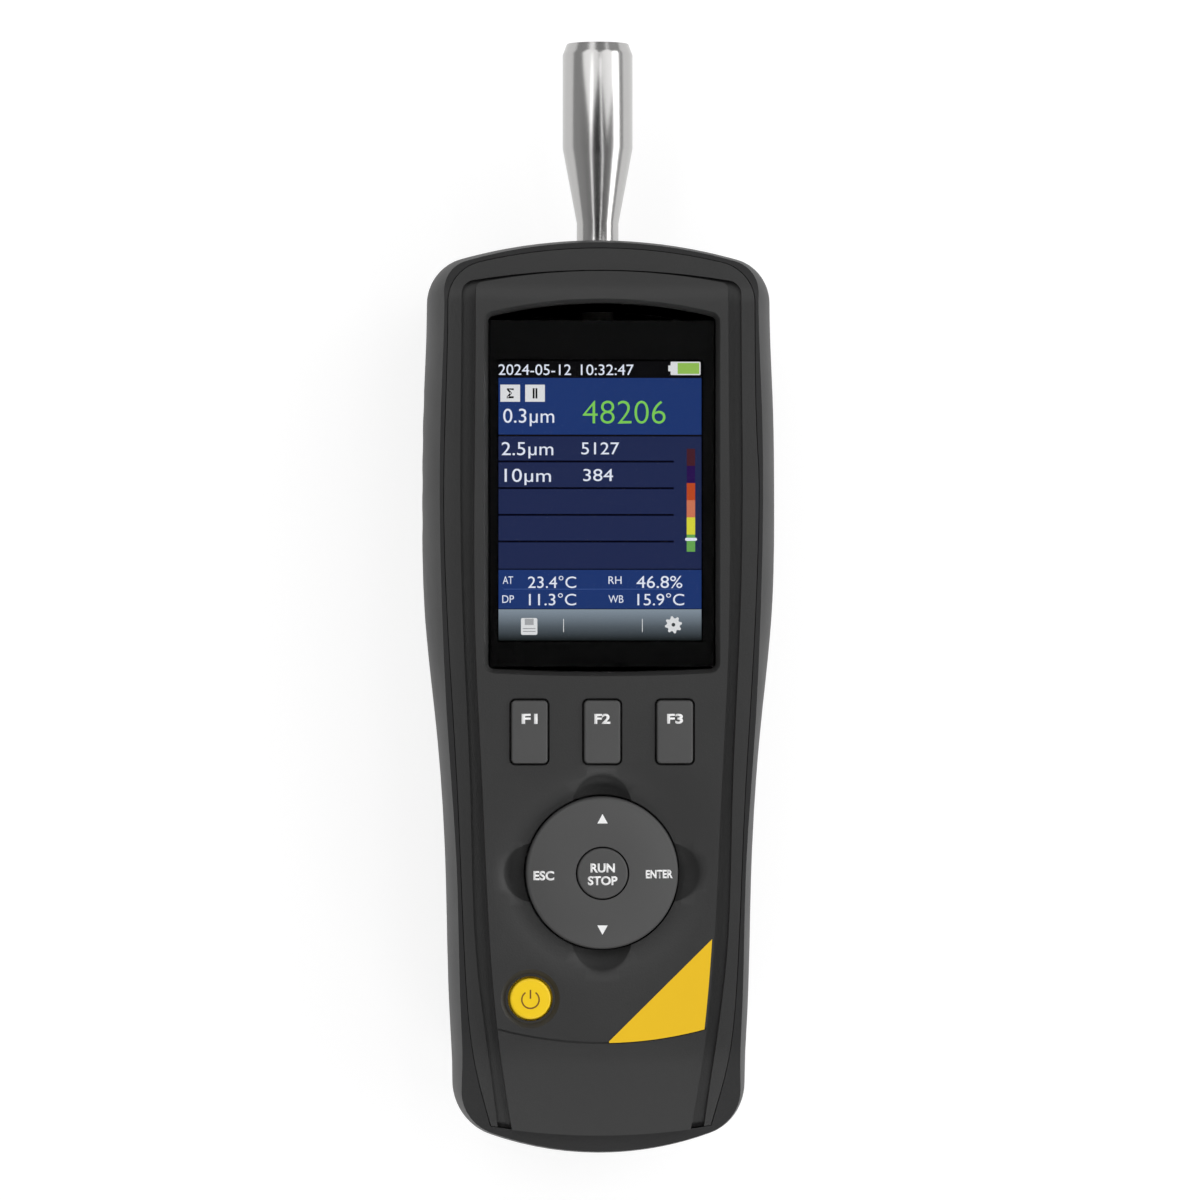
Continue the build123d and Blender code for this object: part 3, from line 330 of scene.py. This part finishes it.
SLOTS = {
    "shell_plastic": grained("Housing plastic", (0.0155, 0.0155, 0.0160), 0.52, relief=0.00003,
                             Specular_IOR_Level=0.35),
    "front_plastic": grained("Front plastic", (0.0200, 0.0200, 0.0200), 0.50, relief=0.000025),
    "key_plastic": grained("Key plastic", (0.062, 0.062, 0.062), 0.58, grain=3200.0, relief=0.000012),
    "power_plastic": grained("Yellow key plastic", srgb(246, 206, 10), 0.42, grain=3000.0,
                             relief=0.00001, variation=0.03),
    "inlay_plastic": grained("Yellow inlay plastic", srgb(236, 190, 0), 0.50, grain=2600.0,
                             relief=0.000012, variation=0.03),
    "window_acrylic": clear("Clear acrylic", (1, 1, 1)),
    "display_glass": grained("Dark display glass", (0.004, 0.004, 0.0045), 0.12, relief=0.0,
                             variation=0.05, Specular_IOR_Level=0.1),
    "turned_steel": turned("Turned steel", (0.47, 0.465, 0.46), 0.20),
    "brass": grained("Brass", (0.68, 0.46, 0.17), 0.32, relief=0.000004, Metallic=1.0),
    "screw_steel": grained("Zinc-plated steel", (0.52, 0.53, 0.55), 0.30, relief=0.000004, Metallic=1.0),
    "black_rubber": grained("Black rubber", (0.011, 0.011, 0.011), 0.72, grain=1500.0, relief=0.00003),
    "key_rubber": grained("Grey key rubber", (0.10, 0.10, 0.105), 0.70, relief=0.00001),
    "board_green": grained("Green circuit board", (0.012, 0.085, 0.030), 0.38, grain=900.0,
                           relief=0.00001),
    "chamber_metal": grained("Cast aluminium", (0.42, 0.42, 0.43), 0.46, grain=1200.0,
                             relief=0.00003, Metallic=1.0),
    "lens_glass": clear("Lens glass", (0.94, 0.98, 1.0)),
    "hose_rubber": grained("Silicone hose", (0.30, 0.28, 0.25), 0.55, relief=0.000006),
    "filter_plastic": grained("White filter plastic", (0.62, 0.62, 0.60), 0.48),
    "pump_plastic": grained("Black pump plastic", (0.020, 0.020, 0.022), 0.45),
    "battery_wrap": grained("Blue battery wrap", (0.020, 0.075, 0.22), 0.35, grain=800.0,
                            relief=0.000006),
    "gauze": woven("Steel gauze", (0.05, 0.05, 0.052)),
    "plated_metal": grained("Nickel plate", (0.60, 0.59, 0.56), 0.22, relief=0.000002, Metallic=1.0),
}
WHITE_INK = grained("White legend ink", srgb(243, 243, 243), 0.6, relief=0.000004, variation=0.02)
BROWN_INK = grained("Brown legend ink", srgb(112, 62, 8), 0.6, relief=0.000004, variation=0.03)
BORDER_INK = grained("Black border print", (0.0028, 0.0028, 0.0030), 0.30, relief=0.000001,
                     variation=0.05, Specular_IOR_Level=0.1)
# CAD nodes in view that get a merged, smooth-shaded copy.
DRESSED = ["rear_housing", "front_housing", "display_window", "function_key_1", "function_key_2",
           "function_key_3", "navigation_key", "run_stop_key", "power_key", "isokinetic_probe",
           "battery_door", "port_cover", "tripod_insert"]


# ----------------------------------------------------------------------------- CAD nodes dressed
def dressed(node):
    """A merged, smooth-shaded copy of a CAD node, shown in its place."""
    piece = bpy.data.objects.new(node + "_dressed", nodes[node].data.copy())
    bpy.context.scene.collection.objects.link(piece)
    select_only(piece)
    bpy.ops.object.mode_set(mode="EDIT")
    bpy.ops.mesh.select_all(action="SELECT")
    bpy.ops.mesh.remove_doubles(threshold=MERGE * MM)
    bpy.ops.object.mode_set(mode="OBJECT")
    bpy.ops.mesh.customdata_custom_splitnormals_clear()
    bpy.ops.object.shade_smooth_by_angle(angle=CREASE)
    add_to(piece, SLOTS[slot_of(node)], node)
    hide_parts(node)
    return piece


def dress_all():
    for node, piece in nodes.items():
        piece.data.materials.clear()
        piece.data.materials.append(SLOTS[slot_of(node)])
    return {node: dressed(node) for node in DRESSED}


# ----------------------------------------------------------------------------- thin pieces
def plate(name, x0, x1, y0, y1, z, thickness, material, node, corner=0.0):
    """A thin plate with straight or rounded corners, its underside at z."""
    bpy.ops.object.select_all(action="DESELECT")
    bpy.ops.mesh.primitive_plane_add(size=1, location=((x0 + x1) / 2 * MM, (y0 + y1) / 2 * MM, z * MM))
    piece = bpy.context.object
    piece.name = name
    piece.scale = ((x1 - x0) * MM, (y1 - y0) * MM, 1)
    apply_place(piece)
    bpy.ops.object.mode_set(mode="EDIT")
    bpy.ops.mesh.select_all(action="SELECT")
    if corner:
        bpy.ops.mesh.bevel(offset=corner * MM, segments=5, affect="VERTICES")
        bpy.ops.mesh.select_all(action="SELECT")
    bpy.ops.mesh.extrude_region_move(TRANSFORM_OT_translate={"value": (0, 0, thickness * MM)})
    bpy.ops.mesh.select_all(action="SELECT")
    bpy.ops.mesh.normals_make_consistent(inside=False)
    bpy.ops.object.mode_set(mode="OBJECT")
    return add_to(piece, material, node)


def flat_text(name, words, x, y, height, width=None, weight=0.0):
    """Lettering as a flat mesh at z = 0, x and y at the middle, drawn out to a height and a width."""
    bpy.ops.object.select_all(action="DESELECT")
    bpy.ops.object.text_add(location=(0, 0, 0))
    piece = bpy.context.object
    piece.name = name
    piece.data.body = words
    piece.data.size = 1.0
    piece.data.offset = weight
    piece.data.resolution_u = 6
    select_only(piece)
    bpy.ops.object.convert(target="MESH")
    piece = bpy.context.object
    xs = [v.co.x for v in piece.data.vertices]
    ys = [v.co.y for v in piece.data.vertices]
    tall = height * MM / (max(ys) - min(ys))
    wide = width * MM / (max(xs) - min(xs)) if width else tall
    piece.scale = (wide, tall, 1)
    mid_x, mid_y = (max(xs) + min(xs)) / 2, (max(ys) + min(ys)) / 2
    piece.location = (x * MM - mid_x * wide, y * MM - mid_y * tall, 0)
    apply_place(piece)
    return piece


def tidy_flat(piece):
    """Merges the points of a flat outline and turns its faces up."""
    select_only(piece)
    bpy.ops.object.mode_set(mode="EDIT")
    bpy.ops.mesh.select_all(action="SELECT")
    bpy.ops.mesh.remove_doubles(threshold=0.000001)
    bpy.ops.mesh.normals_make_consistent(inside=False)
    bpy.ops.object.mode_set(mode="OBJECT")
    if sum(f.normal.z * f.area for f in piece.data.polygons) < 0:
        piece.data.flip_normals()


def raised(piece, z, thickness):
    """Lifts a flat outline to z and gives it its thickness."""
    tidy_flat(piece)
    piece.location.z = z * MM
    apply_place(piece)
    solid = piece.modifiers.new("Thickness", "SOLIDIFY")
    solid.thickness = thickness * MM
    solid.offset = 1.0
    apply_modifiers(piece)
    return piece


def laid_on(piece, surface, thickness=INK):
    """Lays a flat outline on the top of another piece and gives it its thickness."""
    tidy_flat(piece)
    piece.location.z = DROP_FROM * MM
    apply_place(piece)
    wrap = piece.modifiers.new("On the surface", "SHRINKWRAP")
    wrap.target = surface
    wrap.wrap_method = "PROJECT"
    wrap.use_project_z = True
    wrap.use_negative_direction = True
    wrap.use_positive_direction = False
    wrap.offset = INK_LIFT * MM
    solid = piece.modifiers.new("Thickness", "SOLIDIFY")
    solid.thickness = thickness * MM
    solid.offset = 1.0
    apply_modifiers(piece)
    return piece


def flat_outline(name, points):
    """A flat face at z = 0 through points in millimetres, made from a circle's vertices."""
    bpy.ops.object.select_all(action="DESELECT")
    bpy.ops.mesh.primitive_circle_add(vertices=len(points), radius=1.0, fill_type="NGON")
    piece = bpy.context.object
    piece.name = name
    for vertex, (x, y) in zip(piece.data.vertices, points):
        vertex.co = (x * MM, y * MM, 0)
    return piece


def arc_strip(name, x, y, radius, width, start, sweep):
    """A flat strip along an arc: a short edge spun about the arc's middle. Angles in degrees."""
    first = math.radians(start)
    bpy.ops.object.select_all(action="DESELECT")
    bpy.ops.mesh.primitive_plane_add(size=1, location=(0, 0, 0))
    piece = bpy.context.object
    piece.name = name
    inner, outer = (radius - width / 2) * MM, (radius + width / 2) * MM
    ends = [inner, outer]
    bpy.ops.object.mode_set(mode="EDIT")
    bpy.ops.mesh.select_all(action="SELECT")
    bpy.ops.mesh.delete(type="ONLY_FACE")
    bpy.ops.object.mode_set(mode="OBJECT")
    for vertex in piece.data.vertices:
        vertex.select = vertex.index > 1
    bpy.ops.object.mode_set(mode="EDIT")
    bpy.ops.mesh.delete(type="VERT")
    bpy.ops.object.mode_set(mode="OBJECT")
    for vertex, reach in zip(piece.data.vertices, ends):
        vertex.co = (x * MM + reach * math.cos(first), y * MM + reach * math.sin(first), 0)
    bpy.ops.object.mode_set(mode="EDIT")
    bpy.ops.mesh.select_all(action="SELECT")
    steps = max(6, int(abs(sweep) / 8))
    centre = (x * MM, y * MM, 0)
    bpy.ops.mesh.spin(steps=steps, angle=-math.radians(sweep), center=centre, axis=(0, 0, 1))
    bpy.ops.object.mode_set(mode="OBJECT")
    return piece


# ----------------------------------------------------------------------------- screen
def screen():
    """The lit picture on top of the display, built up in thin layers."""
    node = "display_module"
    base_z = corners(node)[1].z

    def field(name, x0, x1, y0, y1, material, layer=1, corner=0.0):
        x0, x1 = SCREEN_MID_X + x0, SCREEN_MID_X + x1
        return plate(name, x0, x1, y0, y1, base_z + layer * LAYER, LAYER * 0.8, material, node, corner)

    def label(name, words, x0, x1, y, height, material, layer=3, weight=0.0):
        piece = flat_text(name, words, SCREEN_MID_X + (x0 + x1) / 2, y, height, x1 - x0, weight)
        raised(piece, base_z + layer * LAYER, LAYER * 0.5)
        return add_to(piece, material, node)

    black = lit("Screen black", srgb(13, 13, 15))
    blue = lit("Screen blue", srgb(33, 56, 112))
    navy = lit("Screen navy", srgb(35, 44, 80))
    line = lit("Screen line", srgb(4, 5, 20))
    pale = lit("Screen white", srgb(226, 232, 246))
    soft = lit("Screen grey", srgb(222, 224, 226))
    green = lit("Screen green", srgb(126, 205, 88))
    field("screen_ground", -SCREEN_HALF, SCREEN_HALF, SCREEN_LOW_Y, SCREEN_TOP_Y, black, 0)
    field("screen_header", -SCREEN_HALF, SCREEN_HALF, HEADER_LOW, HEADER_TOP, blue)
    field("screen_rows", -SCREEN_HALF, SCREEN_HALF, CLIMATE_TOP + 0.15, HEADER_LOW - 0.4, navy)
    field("screen_climate", -SCREEN_HALF, SCREEN_HALF, CLIMATE_LOW, CLIMATE_TOP - 0.1, blue)
    row_top = HEADER_LOW - 0.2
    for i in range(1, ROW_COUNT):
        y = row_top - i * ROW_PITCH + 0.15
        low, high = y - ROW_LINE / 2, y + ROW_LINE / 2
        field(f"screen_line_{i}", -SCREEN_HALF, ROW_LINE_END, low, high, line, 2)
    # Status bar.
    label("screen_date", "2024-05-12", -21.7, -6.2, 48.55, 2.3, pale)
    label("screen_time", "10:32:47", -4.1, 7.2, 48.55, 2.3, pale)
    battery = lit("Screen battery green", srgb(146, 190, 88))
    field("screen_battery_edge", 15.1, 21.5, 47.45, 50.3, soft, 1, 0.25)
    field("screen_battery_nub", 14.6, 15.2, 48.25, 49.5, soft, 1, 0.1)
    field("screen_battery_level", 16.6, 21.25, 47.7, 50.05, battery, 2)
    # Header: two mode signs, the size class and its count.
    for name, sign, x0 in (("sum", "Σ", -21.3), ("hold", "II", -16.0)):
        field(f"screen_{name}_box", x0, x0 + 4.2, 41.7, 45.35, soft, 2)
        middle, half = x0 + 2.1, 0.75 if name == "sum" else 0.5
        label(f"screen_{name}_sign", sign, middle - half, middle + half, 43.5, 2.2, black, 3, 0.035)
    label("screen_class_1", "0.3µm", -20.7, -9.8, 38.35, 3.75, pale)
    label("screen_count_1", "48206", -3.7, 14.0, 39.5, 4.9, green, 3, -0.012)
    rows = [("2.5µm", (-21.05, -10.0), "5127", (-4.0, 4.1)), ("10µm", (-20.4, -10.5), "384", (-3.6, 2.8))]
    for i, (size, size_ends, count, count_ends) in enumerate(rows):
        middle = 31.75 - i * ROW_PITCH
        label(f"screen_class_{i + 2}", size, *size_ends, middle - 0.4, 3.5, pale)
        label(f"screen_count_{i + 2}", count, *count_ends, middle, TEXT_CAP, pale)
    # Level bar with its marker.
    levels = [(70, 34, 44), (43, 22, 78), (186, 74, 38), (203, 118, 88), (216, 214, 64), (104, 166, 84)]
    for i, colour in enumerate(levels):
        high = BAR_TOP - i * BAR_STEP
        level = lit(f"Screen level {i + 1}", srgb(*colour))
        field(f"screen_level_{i + 1}", *BAR_X, high - BAR_STEP, high, level, 2)
    field("screen_level_marker", BAR_X[0] - 0.35, BAR_X[1] + 0.4, 12.0, 12.65, pale, 3, 0.3)
    # Climate block.
    field("screen_climate_line", -20.6, 17.0, 1.62, 1.72, lit("Screen pale blue", srgb(70, 96, 160)), 2)
    climate = [
        ("AT", (-20.8, -18.6), 3.6, "23.4°C", (-15.4, -5.1), 3.2),
        ("RH", (1.8, 4.6), 3.6, "46.8%", (7.8, 17.6), 3.2),
        ("DP", (-20.9, -18.4), -0.45, "11.3°C", (-15.2, -5.1), -0.5),
        ("WB", (1.8, 5.0), -0.45, "15.9°C", (8.0, 18.0), -0.5),
    ]
    for name, name_ends, name_y, value, value_ends, value_y in climate:
        label(f"screen_{name}_label", name, *name_ends, name_y, 1.6, pale)
        label(f"screen_{name}_value", value, *value_ends, value_y, TEXT_CAP, pale)
    # Foot with its two icons.
    foot_high, foot_low = srgb(133, 146, 158), srgb(22, 26, 26)
    fade = lit_fade("Screen foot", foot_high, foot_low, CLIMATE_LOW - 0.2, SCREEN_LOW_Y)
    field("screen_foot", -SCREEN_HALF, SCREEN_HALF, SCREEN_LOW_Y, CLIMATE_LOW - 0.15, fade)
    for i, x in enumerate((-7.8, 9.05)):
        field(f"screen_tick_{i + 1}", x - 0.07, x + 0.07, -7.5, -4.7, soft, 2)
    field("screen_disk", -16.9, -13.4, -8.1, -4.5, soft, 2, 0.35)
    shutter = lit("Screen mid grey", srgb(165, 167, 170))
    field("screen_disk_shutter", -16.1, -14.2, -6.0, -4.65, shutter, 3)
    for i in range(2):
        y = -6.75 - i * 0.6
        rule = lit(f"Screen rule {i + 1}", srgb(140, 142, 145))
        field(f"screen_disk_line_{i + 1}", -16.5, -13.8, y - 0.08, y + 0.08, rule, 3)
    gear_x, gear_y = SCREEN_MID_X + 15.7, -5.95
    gear_points = []
    for i in range(32):
        reach = 1.85 if i % 4 in (0, 1) else 1.4
        turn = math.radians(i * 360 / 32 + 5.6)
        gear_points.append((gear_x + reach * math.cos(turn), gear_y + reach * math.sin(turn)))
    gear = raised(flat_outline("screen_gear", gear_points), base_z + 2 * LAYER, LAYER * 0.5)
    add_to(gear, soft, node)
    hole = lit("Screen dark grey", srgb(62, 66, 68))
    field("screen_gear_hole", 15.3, 16.1, -6.35, -5.55, hole, 3, 0.39)


def border_print():
    """Black print on the underside of the window, open over the lit part."""
    low, high = corners("display_window")
    z = low.z + 0.02
    edge = 0.25
    bpy.ops.object.select_all(action="DESELECT")
    bpy.ops.mesh.primitive_plane_add(size=1, location=(0, 0, 0))
    piece = bpy.context.object
    piece.name = "window_border_print"
    piece.scale = ((high.x - low.x - 2 * edge) * MM, (high.y - low.y - 4.6) * MM, 1)
    piece.location = ((low.x + high.x) / 2 * MM, (low.y + high.y - 2.6) / 2 * MM, 0)
    apply_place(piece)
    x0, x1 = SCREEN_MID_X - SCREEN_HALF - 0.25, SCREEN_MID_X + SCREEN_HALF + 0.25
    y0, y1 = SCREEN_LOW_Y - 0.3, SCREEN_TOP_Y + 0.3
    opening = flat_outline("opening", [(x0, y0), (x1, y0), (x1, y1), (x0, y1)])
    raised(opening, z - 0.5, 1.0)
    raised(piece, z, 0.02)
    cut = piece.modifiers.new("Opening", "BOOLEAN")
    cut.operation = "DIFFERENCE"
    cut.object = opening
    cut.solver = "EXACT"
    apply_modifiers(piece)
    bpy.data.objects.remove(opening)
    return add_to(piece, BORDER_INK, "display_module")


# ----------------------------------------------------------------------------- legends
def legends(skins):
    for i in range(3):
        node = f"function_key_{i + 1}"
        low, high = corners(node)
        x, y = (low.x + high.x) / 2, (low.y + high.y) / 2
        text = flat_text(f"legend_F{i + 1}", f"F{i + 1}", x, y + KEY_LEGEND_UP, 2.15, 3.4, LEGEND_WEIGHT)
        add_to(laid_on(text, skins[node]), WHITE_INK, node)
    low, high = corners("navigation_key")
    x, y = (low.x + high.x) / 2, (low.y + high.y) / 2
    key = skins["navigation_key"]
    sides = [("ESC", -12.5, -0.5, 2.0, 4.4), ("ENTER", 12.1, -0.2, 1.8, 5.8)]
    for words, dx, dy, height, width in sides:
        text = flat_text(f"legend_{words}", words, x + dx, y + dy, height, width, LEGEND_WEIGHT)
        add_to(laid_on(text, key), WHITE_INK, "navigation_key")
    for name, way, foot in (("up", 1, ARROW_UP_R), ("down", -1, ARROW_DOWN_R)):
        foot_y, tip_y = y + way * foot, y + way * (foot + 2.0)
        points = [(x - 1.1 * way, foot_y), (x + 1.1 * way, foot_y), (x, tip_y)]
        mark = flat_outline(f"legend_{name}", points)
        add_to(laid_on(mark, key), WHITE_INK, "navigation_key")
    cap = skins["run_stop_key"]
    top = max(v.co.z for v in cap.data.vertices)
    for vertex in cap.data.vertices:
        if vertex.co.z > top - RUN_TOP_BAND * MM:
            vertex.co.z -= RUN_SINK * MM
    for words, dy, width in (("RUN", 1.15, 5.2), ("STOP", -1.55, 6.3)):
        text = flat_text(f"legend_{words}", words, x, y + dy, 1.95, width, LEGEND_WEIGHT)
        add_to(laid_on(text, cap), WHITE_INK, "run_stop_key")
    power_sign(skins["power_key"])


def power_sign(key):
    low, high = corners("power_key")
    x, y = (low.x + high.x) / 2, (low.y + high.y) / 2
    ring = arc_strip("legend_power_ring", x, y - 0.15, 1.85, 0.3, 125, 290)
    add_to(laid_on(ring, key), BROWN_INK, "power_key")
    half, low_y, high_y = 0.16, y + 0.05, y + 1.95
    points = [(x - half, low_y), (x + half, low_y), (x + half, high_y), (x - half, high_y)]
    bar = flat_outline("legend_power_bar", points)
    add_to(laid_on(bar, key), BROWN_INK, "power_key")


# ----------------------------------------------------------------------------- room
def floor():
    """Pale floor that shows white behind the object and keeps its shadow."""
    bpy.ops.object.select_all(action="DESELECT")
    bpy.ops.mesh.primitive_plane_add(size=6, location=(0, 0, -0.0002))
    piece = bpy.context.object
    piece.name = "floor"
    apply_place(piece)
    material, tree, shader = new_material("Floor")
    tree.nodes.remove(shader)
    out = tree.nodes["Material Output"]
    matt = tree.nodes.new("ShaderNodeBsdfDiffuse")
    matt.inputs["Color"].default_value = (FLOOR_GREY, FLOOR_GREY, FLOOR_GREY, 1)
    glow = tree.nodes.new("ShaderNodeEmission")
    glow.inputs["Color"].default_value = (1, 1, 1, 1)
    path = tree.nodes.new("ShaderNodeLightPath")
    either = tree.nodes.new("ShaderNodeMath")
    either.operation = "MAXIMUM"
    link(tree, path, "Is Camera Ray", either, 0)
    link(tree, path, "Is Glossy Ray", either, 1)
    seen = tree.nodes.new("ShaderNodeMath")
    seen.operation = "MAXIMUM"
    link(tree, either, "Value", seen, 0)
    link(tree, path, "Is Transmission Ray", seen, 1)
    level = tree.nodes.new("ShaderNodeMath")
    level.operation = "MULTIPLY"
    level.inputs[1].default_value = FLOOR_GLOW
    link(tree, seen, "Value", level, 0)
    link(tree, level, "Value", glow, "Strength")
    both = tree.nodes.new("ShaderNodeAddShader")
    link(tree, matt, "BSDF", both, 0)
    link(tree, glow, "Emission", both, 1)
    link(tree, both, "Shader", out, "Surface")
    piece.data.materials.append(material)


def softbox(name, place, depth, length, power):
    bpy.ops.object.light_add(type="AREA", location=place)
    lamp = bpy.context.object
    lamp.name = name
    lamp.data.shape = "RECTANGLE"
    lamp.data.size = depth
    lamp.data.size_y = length
    lamp.data.energy = power
    way = Vector(LAMPS_AIM) - Vector(place)
    lamp.rotation_euler = way.to_track_quat("-Z", "X").to_euler()


def room_light():
    """World: dark overhead, lighter towards the horizon; two overhead strips and four softboxes."""
    world = bpy.data.worlds.new("Room")
    bpy.context.scene.world = world
    world.use_nodes = True
    tree = world.node_tree
    back = tree.nodes["Background"]
    place = tree.nodes.new("ShaderNodeTexCoord")
    split = tree.nodes.new("ShaderNodeSeparateXYZ")
    ramp = tree.nodes.new("ShaderNodeValToRGB")
    ramp.color_ramp.interpolation = "EASE"
    while len(ramp.color_ramp.elements) < len(SKY):
        ramp.color_ramp.elements.new(0.5)
    for element, (at, level) in zip(ramp.color_ramp.elements, SKY):
        element.position = at
        element.color = (level, level, level, 1)
    link(tree, place, "Generated", split, "Vector")
    link(tree, split, "Z", ramp, "Fac")
    link(tree, ramp, "Color", back, "Color")
    back.inputs["Strength"].default_value = 1.0
    for lamp in LAMPS:
        softbox(*lamp)


def camera():
    bpy.ops.object.camera_add()
    eye = bpy.context.object
    target = Vector(CAMERA_TARGET) * MM
    way = Vector((math.sin(CAMERA_LEAN), 0, -math.cos(CAMERA_LEAN)))
    eye.location = target - way * CAMERA_REACH * MM
    eye.rotation_euler = (0, -CAMERA_LEAN, 0)
    eye.data.lens = LENS
    eye.data.sensor_width = SENSOR
    eye.data.clip_start = 0.01
    bpy.context.scene.camera = eye


skins = dress_all()
screen()
border_print()
legends(skins)
floor()
room_light()
camera()
bpy.context.scene.view_settings.view_transform = "Standard"
